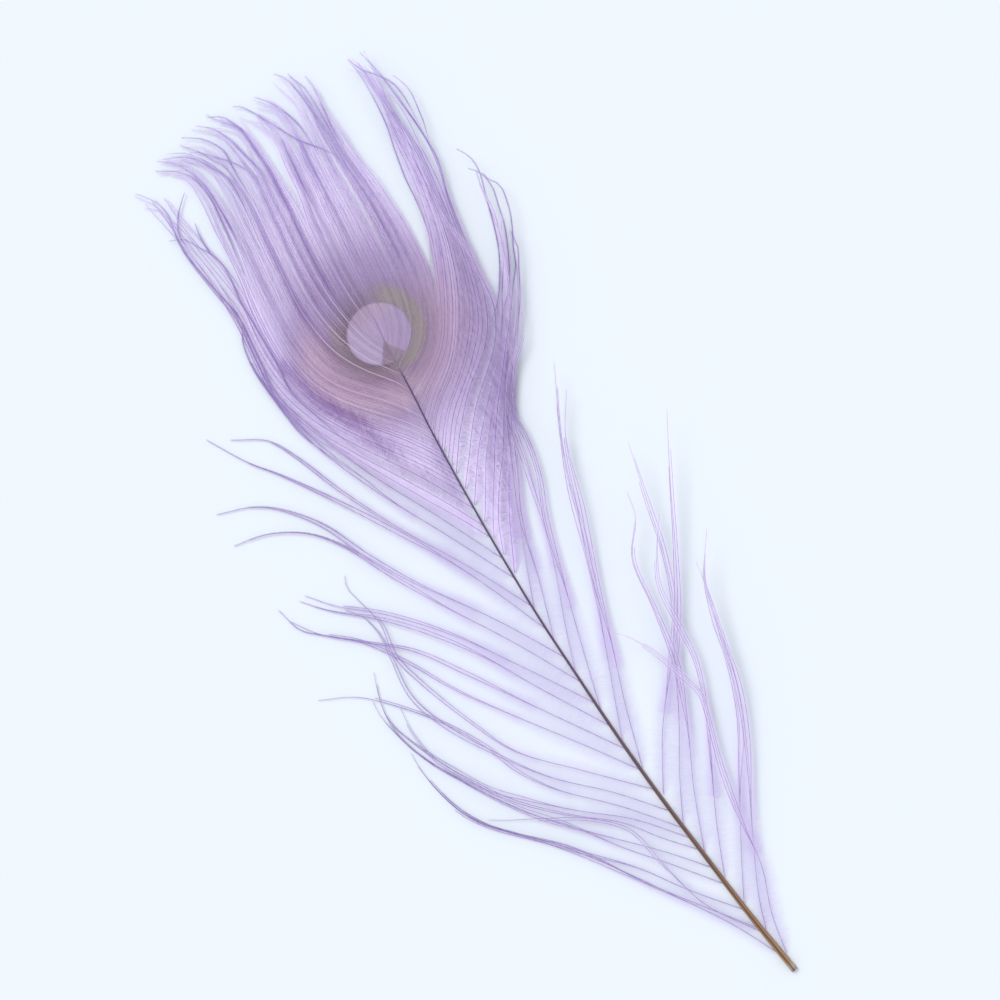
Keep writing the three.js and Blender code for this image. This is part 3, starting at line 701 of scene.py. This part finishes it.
# The closed vane round the eye and the crown above it. Here the barbs stand a millimetre or
# two apart, and their broad barbules overlap and nearly hide the ground. Each guide below is
# the middle of a lock, from left to right, with how far its tip rises off the ground, how
# many barbs lie between it and the next one, and where along their length those part.
VANE_GUIDES = [
    (0, 3, 1.0, [
        (-16.2, 147), (-20.6, 155), (-26.3, 164.5), (-38.5, 185), (-46.3, 199), (-50, 211), (-50, 222),
        (-49, 234), (-49.3, 246), (-51, 256), (-51.8, 266), (-53, 275)]),
    (0, 8, 0.62, [
        (-16.1, 160), (-19.8, 166.3), (-23.7, 172.5), (-30, 181.3), (-36.5, 190.3), (-42, 199.5),
        (-44.7, 207), (-46.3, 214), (-46.8, 224), (-46.2, 235), (-47.5, 246), (-49.5, 256), (-51.3, 266),
        (-52, 272), (-56, 278.5)]),
    (0.5, 7, 0.8, [
        (-15.9, 176), (-18, 179.6), (-21, 183.7), (-25, 188.2), (-29.8, 193.2), (-34.3, 198.5),
        (-38, 204), (-40.7, 211), (-42, 220), (-41.4, 236), (-40, 248), (-39, 260), (-38.6, 268),
        (-41, 277), (-48, 281.2)]),
    (0.9, 6, 0.8, [
        (-15.8, 183), (-18, 186.8), (-21.3, 190.8), (-25.3, 195), (-30, 199.7), (-33.7, 204.5),
        (-36.3, 210), (-37.6, 216), (-38.2, 224), (-37.5, 240), (-36.6, 255), (-37.3, 268), (-39.8, 278),
        (-46.3, 283.4)]),
    (0.4, 6, 0.8, [
        (-15.6, 188.5), (-17.8, 192.2), (-21, 196.3), (-24.7, 200.3), (-28.3, 203.9), (-31.2, 207.7),
        (-33, 212), (-34.2, 218), (-34.6, 226), (-33.8, 240), (-33, 255), (-32.6, 266), (-34.5, 275.5),
        (-40, 281.5), (-44.5, 283.2)]),
    (1.0, 5, 0.8, [
        (-15.4, 194), (-17.5, 197.8), (-20.5, 201.4), (-23.2, 204.8), (-25.3, 208.3), (-27, 211.8),
        (-28.3, 215.5), (-29.5, 221), (-30.4, 228), (-30.2, 240), (-29.3, 255), (-29, 268), (-31.5, 279),
        (-37.5, 285.7)]),
    (0.5, 5, 0.8, [
        (-15.2, 200), (-18, 203.5), (-20.8, 207.5), (-22.8, 212), (-24.3, 217), (-25.6, 223),
        (-26.2, 230), (-26, 241), (-25, 256), (-24.8, 268), (-27.3, 280), (-33, 286.8)]),
    (1.0, 5, 0.75, [
        (-15.1, 204), (-17.2, 208), (-19.2, 212.5), (-20.6, 217.5), (-21.6, 223), (-22.2, 230),
        (-22, 242), (-21, 256), (-20.7, 269), (-22.5, 281), (-28.5, 287.3)]),
    (0.5, 4, 0.75, [
        (-15, 208.5), (-16.3, 212.5), (-17.4, 217), (-18.2, 222), (-18.6, 230), (-18, 244), (-16.8, 257),
        (-17, 270), (-18.5, 280), (-21, 286.7)]),
    (0, 5, 0.75, [
        (-14.8, 212), (-14.9, 218), (-15, 224), (-14.9, 232), (-14, 246), (-13, 259), (-12.6, 270),
        (-14, 278), (-16.3, 281.5)]),
    (0.8, 5, 0.75, [
        (-15, 206.5), (-13.2, 209), (-11.8, 213), (-10.9, 218), (-10.3, 225), (-10, 232), (-9.5, 246),
        (-9, 259), (-8.5, 270), (-10, 279.5), (-14, 285.8)]),
    (1.5, 5, 0.8, [
        (-15.1, 202), (-12.5, 204), (-9.8, 207), (-7.7, 211), (-6.4, 216), (-5.5, 223), (-5, 232),
        (-4.5, 246), (-4.5, 259), (-3.7, 270), (-3.8, 280), (-6.3, 288.7)]),
    (1.0, 5, 0.8, [
        (-15.2, 198.5), (-12, 200.5), (-8.5, 202.7), (-5.3, 205.8), (-3, 210), (-1.3, 215), (-0.2, 222),
        (0.3, 230), (0.4, 243), (-0.3, 256), (-1, 268), (-1, 279), (-2.5, 287)]),
    (1.6, 5, 0.25, [
        (-15.3, 194), (-11.5, 196.3), (-8, 198.2), (-4.5, 201), (-1.5, 204.6), (0.7, 209), (2.5, 214.5),
        (3.9, 221), (4.4, 229), (4.4, 238), (3.2, 250), (1.8, 262), (1.2, 274), (1.6, 284)]),
    (3.0, 11, 0.9, [
        (-15.5, 190), (-11, 192.8), (-6.5, 195.8), (-2.3, 199.3), (1, 203.5), (3.7, 208.5), (6.2, 214),
        (9, 220.5), (12, 229), (14.2, 240), (15.6, 255), (16.5, 268), (15.8, 277), (14, 282)]),
    (3.5, 4, 1.0, [
        (-15.6, 179), (-12, 184), (-8.3, 187.5), (-3.8, 191), (0.2, 195), (3.6, 199.5), (6.8, 204.5),
        (9.6, 210), (12, 216.5), (14.5, 226), (16, 238), (17.2, 252), (17.6, 266), (17, 276), (16, 282)]),
    (4.0, 2, 1.0, [
        (-15.2, 171.5), (-10.4, 178.5), (-7.9, 181.7), (-2.4, 186.7), (1.8, 190.3), (5.5, 194.2),
        (9.5, 199), (12.5, 205), (14.5, 212), (16, 220), (18, 234), (19.2, 248), (18.5, 262), (18.5, 274),
        (18, 282)]),
    (4.0, 1, 1.0, [
        (-15.4, 166.7), (-13.9, 169), (-9.4, 175.7), (-6.8, 178.8), (-3.5, 182.7), (0.2, 186.4),
        (4.5, 189.8), (9.5, 194.5), (13, 199.8), (15.7, 207), (17.3, 216), (20, 234), (22, 248),
        (22.5, 258), (20.5, 269), (16.5, 277)]),
    (4.0, 1, 1.0, [
        (-15.3, 161.7), (-11.2, 167.5), (-6.6, 174.1), (-2.8, 178.9), (0.8, 182.6), (6, 187.2),
        (11.5, 193), (15.5, 200), (17, 208), (17.7, 220), (19, 231)]),
    (5.5, 1, 1.0, [
        (-15.2, 156.5), (-12.5, 161), (-8.4, 167.5), (-4.4, 172.9), (0, 178), (4.5, 182.8), (9.5, 188),
        (14.5, 194.5), (20, 203.5), (25, 212), (28, 221), (30.8, 237)]),
    (5.5, 1, 1.0, [
        (-15, 151), (-11.2, 157.4), (-6.1, 166.2), (-3, 170.3), (1, 175.8), (5, 180.5), (10, 186.5),
        (15, 193.3), (21, 202), (26, 213), (28.5, 223), (30, 234)]),
    (5.2, 1, 1.0, [
        (-14.9, 145.8), (-11.3, 153.3), (-6.2, 162), (-1.5, 169.5), (4, 177.3), (10, 185), (16, 194),
        (22, 203.5), (27, 215)]),
    (5.0, 1, 1.0, [
        (-14.8, 140.5), (-11.6, 148.9), (-8.6, 154.5), (-5.3, 159.9), (-2.1, 164.3), (4.5, 175.3),
        (10, 183.8), (17, 194.5), (23, 205), (27.5, 216), (30, 222)]),
    (5.0, 1, 1.0, [
        (-14.7, 134.5), (-10, 144.5), (-5, 154.5), (0.2, 163.8), (6, 174.3), (12, 185), (18, 196),
        (24, 207.5), (28, 218), (30.5, 224)]),
    (5.0, 1, 1.0, [
        (-14.9, 122.5), (-9.5, 138), (-5, 149.5), (1, 163), (6, 174), (14, 187.5), (20, 197.5)]),
]
VANE_PIECES = {"vane_left_outer": (0, 4), "vane_left_inner": (4, 9), "vane_right_inner": (9, 13),
               "vane_right_outer": (13, 18), "vane_right_haze": (18, 24)}
VANE_STEP = 0.18
HAZE_STEP = 0.13
GUIDE_POINTS = 70
DENSE_GUIDES = range(2, 15)         # at the others the barbs lie apart and have wide fringes
# How deep the dye is at each guide, near the eye and up in the crown.
GUIDE_DEPTHS = [(0.0, 0.0), (0.15, 0.1), (0.45, 0.1), (0.35, 0.1), (0.5, 0.4), (0.65, 0.35),
                (0.75, 0.65), (0.8, 1.0), (0.65, 0.45), (0.5, 0.45), (0.5, 0.45), (0.5, 0.55),
                (0.5, 0.9), (0.4, 0.5), (0.5, 0.55), (0.55, 0.6), (0.65, 0.65), (0.7, 0.65),
                (0.7, 0.6), (0.7, 0.5), (0.75, 0.45), (0.8, 0.4), (0.8, 0.35), (0.85, 0.35),
                (0.85, 0.35)]
CROWN_STARTS = [(0, 204), (4, 216), (17, 188)]      # from which guide on, and how far up
CROWN_FADE = 22
VANE_LOOKS = {"far": (0, 3, 12, 35, 60, 85, 130), "fringe": (0.8, 1.2, 1.3, 1.2, 1.0, 0.6, 0.45),
              "blade": (1.2, 1.3, 1.4, 1.8, 1.5, 1.3, 1.2), "thickness": 0.8, "uneven": 0.12}
HAZE_LOOKS = {"far": (0, 3, 12, 25, 40, 60, 90), "fringe": (0.8, 2.6, 2.9, 2.9, 2.4, 1.9, 0.8),
              "blade": (1.6, 1.6, 1.6, 1.6, 1.5, 1.3, 1.2), "thickness": 1.05, "uneven": 0.02}
# Along a line where the edge of the real left vane is folded over, the dye is painted deeper,
# as painted shade of a fold that these barbs don't have; it is deeper beside the lower shaft too.
FOLD_GUIDES = 4
FOLD_LINE = smooth_path([(-15.9, 154), (-21, 164.5), (-26, 173), (-29.5, 183), (-32.7, 191),
                         (-38.8, 205), (-42.5, 216)], 60)
FOLD_SHADE = 0.65
FOLD_REACH = 2.4
FOLD_FROM_SHAFT = 16
ROOT_HEIGHTS = (172, 184)
ROOT_DEPTHS = (0.85, 0.1)
ROOT_REACH = 13
SLIT_GUIDE = 8                      # the crown is split from here up
SLIT_OPENING = 0.45
# How a barb's shade drifts from root to tip, and how much paler than its lock it is.
DRIFTS = [(0.5, 0.4), (0.3, 0.35), (0, 0.3), (-0.5, 0.1), (-1, 0), (0, 0), (1, 0)]
SHADE_DRIFT = 0.3
SHADE_SPREAD = 0.32
HAZE_LUCK = (0.3, 0.45)
# How far a barb is shifted beside its even place, and waves, flutters and curls.
BARB_SHIFT = 0.3
BARB_WAVE = 0.35
WAVE_TURNS = (5, 12)
FLUTTER = 0.9
FLUTTER_TURNS = (22, 34)
CURL = (-0.5, 1.3)
CURL_FROM = 0.82
SHORTEST_BARB = 0.93
EYE_FRINGE = 0.3
EYE_FRINGE_REACH = 22


def dye_depth_and_fold_shade(i, share, run):
    """How deep the dye is along a barb this share of the way to the next guide, plus painted fold shade.
    """
    near, high = (np.interp(i + share, range(len(GUIDE_DEPTHS)), depths)
                  for depths in zip(*GUIDE_DEPTHS))
    crown_start = [height for first, height in CROWN_STARTS if i >= first][-1]
    depth = near + (high - near) * np.clip((run[:, 1] - crown_start) / CROWN_FADE, 0, 1)
    if i < FOLD_GUIDES:
        from_root = np.linalg.norm(run - run[0], axis=1)
        from_fold = np.linalg.norm(run[:, None] - FOLD_LINE, axis=2).min(axis=1)
        fold_shade = FOLD_SHADE * np.clip(from_root / FOLD_FROM_SHAFT, 0, 1)
        by_root = np.interp(run[:, 1], ROOT_HEIGHTS, ROOT_DEPTHS)
        # Painted shade of the fold, which the barbs themselves don't have.
        depth += fold_shade * np.exp(-(from_fold / FOLD_REACH) ** 2)
        depth += by_root * np.exp(-(from_root / ROOT_REACH) ** 2)
    return depth


def vane_barbs(first, last):
    """The barbs between two guides: evenly spread at the shaft, gathered in locks at the tip."""
    guides = [smooth_path(guide[-1], GUIDE_POINTS) for guide in VANE_GUIDES]
    along = np.linspace(0, 1, GUIDE_POINTS)
    barbs = []
    for i in range(first, last):
        rise, count, parting, path = VANE_GUIDES[i]
        dense = i in DENSE_GUIDES
        gather = np.clip((along - parting) / max(0.01, 1 - parting), 0, 1) ** 0.8
        grip = 1.0 if parting < 0.6 else 0.6
        opening = SLIT_OPENING * np.clip((along - 0.5) / 0.3, 0, 1)
        for k in range(count):
            share = (k + (shades.uniform(-BARB_SHIFT, BARB_SHIFT) if k else 0)) / count
            split = share + (round(share) - share) * gather * grip
            if i == SLIT_GUIDE - 1:
                split = split * (1 - opening)
            if i == SLIT_GUIDE:
                split = split + (1 - split) * opening
            run = guides[i] + (guides[i + 1] - guides[i]) * split[:, None]
            bend = shades.uniform(-BARB_WAVE, BARB_WAVE)
            wave = bend * np.sin(along * shades.uniform(*WAVE_TURNS) + shades.uniform(0, 6))
            flutter = np.sin(along * shades.uniform(*FLUTTER_TURNS) + shades.uniform(0, 6))
            wave += FLUTTER * np.clip(along - 0.5, 0, 1) * flutter
            curl = shades.normal(*CURL) * np.clip((along - CURL_FROM) / (1 - CURL_FROM), 0, 1) ** 2
            run = run + sideways(run) * ((wave + curl) * np.clip(along * 8, 0, 1))[:, None]
            kept = int(GUIDE_POINTS * (shades.uniform(SHORTEST_BARB, 1.0) if share > 0 else 1))
            run = run[:kept]
            top = rise + (VANE_GUIDES[i + 1][0] - rise) * share
            layer = shades.uniform(0.0, 0.3 if dense else 0.1)
            unlike = shades.uniform(-SHADE_SPREAD, SHADE_SPREAD) if dense else 0
            drift = shades.uniform(-SHADE_DRIFT, SHADE_DRIFT) if dense else 0
            made = barb(run, lambda a, w=kept / GUIDE_POINTS, t=top, z=layer: t * (a * w) ** 2 + z,
                        shade=[drift * change - paler for change, paler in DRIFTS],
                        luck=shades.uniform(0, 1) if dense else shades.uniform(*HAZE_LUCK),
                        **(VANE_LOOKS if dense else HAZE_LOOKS))
            from_eye = np.linalg.norm(run - np.array(EYE_MIDDLE), axis=1)
            made["shade"] = made["shade"] + dye_depth_and_fold_shade(i, share, run) + unlike
            made["fringe"] *= 1 + EYE_FRINGE * np.exp(-(from_eye / EYE_FRINGE_REACH) ** 2)
            barbs.append(made)
    return barbs


for seed, (name, (first, last)) in enumerate(VANE_PIECES.items(), start=3):
    grow(name, vane_barbs(first, last), seed, HAZE_STEP if name == "vane_right_haze" else VANE_STEP)

# Single strands that lie over the vane or stray from it: dark ones that cross the crown and
# curl at its tips, the twisted edges of both side locks, and the long loose strands that
# bow out at the right of the eye. Each has its height at the root and at the tip.
STRANDS = [
    (0.4, 0.3, [
        (-33, 168), (-41, 182), (-48, 197), (-49.5, 205), (-50, 210), (-50.5, 215), (-51, 220),
        (-50.5, 225), (-49.8, 228), (-47.5, 232)]),
    (0.5, 0.3, [
        (-33, 173), (-41, 187), (-46, 196), (-48, 204), (-49.5, 210), (-48.5, 218), (-47.8, 230),
        (-47.5, 235), (-48.5, 240), (-49.8, 245), (-51, 251), (-52, 257), (-52, 262), (-51, 270),
        (-53, 275), (-56, 278.5)]),
    (0.9, 0.8, [
        (-30, 174), (-37, 187), (-42, 200), (-45, 210), (-44.5, 215), (-44.8, 240), (-44.2, 245),
        (-44.5, 250), (-46, 254), (-48, 257), (-50, 260.5), (-54, 262.2)]),
    (0.7, 0.6, [(-51, 256), (-51, 262), (-50, 265), (-48, 268), (-44, 272)]),
    (0.6, 0.6, [(-45.5, 250), (-46, 255), (-46, 260), (-45.5, 263)]),
    (0.6, 0.8, [
        (-41, 240), (-39.8, 250), (-39, 256), (-38.5, 262), (-38.3, 267), (-39.5, 274), (-41.5, 277),
        (-44, 279), (-48, 281.2)]),
    (0.8, 1.0, [
        (-38, 240), (-37.5, 250), (-37.8, 270), (-38.8, 274), (-40.5, 278), (-43, 281), (-46.3, 283.4)]),
    (0.8, 1.0, [
        (-32, 250), (-31, 266), (-31.8, 271), (-34, 274.5), (-36, 278), (-38, 280), (-40.5, 281.5),
        (-44.5, 283)]),
    (0.9, 1.2, [(-30, 255), (-30, 266), (-33, 274), (-34.5, 277), (-38, 281.3), (-42.8, 283.8)]),
    (0.9, 1.2, [
        (-28, 255), (-28.5, 265), (-28.7, 272), (-28.5, 277), (-30, 280), (-32, 282.5), (-34.5, 284.3),
        (-37, 285.7)]),
    (0.8, 1.0, [(-29, 265), (-31, 274), (-32.5, 276), (-34, 279), (-36, 281.5), (-38.5, 284)]),
    (0.9, 1.2, [
        (-21, 258), (-22.5, 268), (-24, 273), (-25.5, 278), (-26.5, 281), (-28, 283.5), (-30, 285.3),
        (-32, 286.7)]),
    (1.0, 1.3, [
        (-20, 260), (-20.8, 273), (-21.5, 280), (-22.5, 282.5), (-24, 285), (-26, 286.5), (-28, 287.2)]),
    (1.2, 1.4, [(-22, 262), (-24, 266.5), (-25.5, 269), (-28, 273), (-31, 276), (-35, 280), (-37, 281)]),
    (0.9, 0.8, [(-14, 274), (-15, 280.5), (-16, 282), (-17, 283.5), (-18.5, 285.5), (-20.3, 286.5)]),
    (1.3, 1.5, [
        (1, 256), (-2, 261), (-5, 265), (-9, 269.5), (-11.5, 274), (-13, 276.5), (-14.5, 279.5),
        (-16, 281)]),
    (1.2, 1.4, [
        (-6, 262), (-6.3, 270), (-7, 274.5), (-8, 277), (-9, 279.5), (-10.5, 282), (-12, 284),
        (-13.7, 285.7)]),
    (1.5, 2.0, [(-2, 258), (-1.5, 270), (-1.8, 276), (-2.5, 281), (-3.8, 286.5), (-6, 288.7)]),
    (1.4, 1.9, [(0, 258), (0.2, 270), (0, 278), (-0.5, 282), (-2.5, 286)]),
    (1.3, 1.8, [(1, 256), (1, 268), (1.5, 274), (2, 280), (1.5, 284)]),
    (0.8, 0.9, [(-14.5, 248), (-14, 257), (-13.5, 265), (-13, 272)]),
    (1.6, 3.4, [
        (4.7, 216), (7, 222), (10, 228), (11, 233), (11.8, 240), (12, 245), (12.7, 250), (13.5, 255),
        (14.5, 260), (15, 266), (15, 277), (14, 282)]),
    (2.0, 4.0, [
        (14, 205), (15, 211), (16.8, 216), (17.5, 221), (18.5, 227), (19, 231), (20.2, 237), (21.5, 241),
        (22.5, 246), (22.5, 251), (22, 258), (21, 266), (20, 274), (18, 282)]),
    (3.4, 4.2, [(22, 246), (23, 252), (24, 256), (24.5, 260), (25, 266), (24.3, 269), (23, 272)]),
    (3.4, 4.2, [
        (22.5, 252), (22.8, 260), (22.8, 265), (22, 270), (20.5, 272.5), (19, 274.5), (15.5, 278.5),
        (14.3, 282)]),
    (1.8, 5.4, [
        (2, 186), (10, 196), (14, 199), (18, 203), (22, 209), (25, 215), (27, 221), (28.5, 227),
        (29.8, 232), (30.8, 236), (31, 240), (30, 243), (28.5, 245.3)]),
    (2.2, 5.8, [
        (10, 190), (17, 199), (22, 204), (25, 209), (28, 215.5), (30, 221), (31, 226), (32, 231),
        (31.5, 235), (29.5, 238.5), (28.7, 239)]),
    (2.6, 6.2, [
        (13, 190), (20, 199), (24, 205), (27, 209), (29, 214), (31, 218), (33, 223), (34, 228),
        (34.2, 230), (33.5, 232), (32, 233.8), (31.5, 236)]),
    (2.8, 5.0, [(14, 187), (20, 195), (24, 201), (26, 205), (28.5, 210), (30, 213), (30.5, 218)]),
]
STRAND_LOOKS = {"far": (0, 20, 60, 100), "fringe": (0.4, 0.5, 0.55, 0.45),
                "blade": (1.2, 1.3, 1.3, 1.2), "shade": (1.1, 1.1, 1.1, 1.1), "luck": 0.37}
STRAND_ARRIVES = 0.4                # a strand comes out of the vane over this share of its length
strands = []
for low, high, path in STRANDS:
    strand = loose(path, lambda along, low=low, high=high: low + (high - low) * along,
                   **STRAND_LOOKS)
    arriving = np.clip(np.linspace(0, 1, len(strand["ramus"])) / STRAND_ARRIVES, 0.1, 1)
    for key in ("ramus", "fringe", "shade"):
        strand[key] = strand[key] * arriving
    strands.append(strand)
grow("crown_strands", strands, seed=9)

bpy.data.objects.remove(pair, do_unlink=True)

# The ground is a plain, very pale, cool white sheet, which isn't part of the object.
FLOOR_SIZE = 3.0
FLOOR_HEIGHT = -0.4 * MM
bpy.ops.mesh.primitive_plane_add(size=FLOOR_SIZE, location=(0, 0, FLOOR_HEIGHT))
floor = bpy.context.object
floor.name = "floor"
floor_white, floor_shader = new_material("floor_white")[:2]
feed(floor_shader, {"Base Color": colour(215, 221, 229), "Roughness": 0.9,
                    "Specular IOR Level": 0.1})
floor.data.materials.append(floor_white)
floor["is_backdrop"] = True

# Soft daylight from all round, and a broad lamp from the upper left of the picture, which
# gives the lifted barbs their faint shadows to the lower right.
SKY_COLOUR = (0.96, 0.98, 1.0, 1)
SKY_STRENGTH = 0.88
LAMP_STRENGTH = 1.6
LAMP_SPREAD = math.radians(24)
LAMP_TILT = (math.radians(-18), math.radians(-24))
world = bpy.data.worlds.new("daylight")
bpy.context.scene.world = world
world.use_nodes = True
feed(world.node_tree.nodes["Background"], {"Color": SKY_COLOUR, "Strength": SKY_STRENGTH})
lamp_data = bpy.data.lights.new("lamp", "SUN")
lamp_data.energy = LAMP_STRENGTH
lamp_data.angle = LAMP_SPREAD
lamp = bpy.data.objects.new("lamp", lamp_data)
lamp.rotation_euler = (*LAMP_TILT, VIEW_TURN)
bpy.context.collection.objects.link(lamp)
bpy.context.scene.view_settings.view_transform = "Standard"
bpy.context.scene.view_settings.look = "None"

low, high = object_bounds()
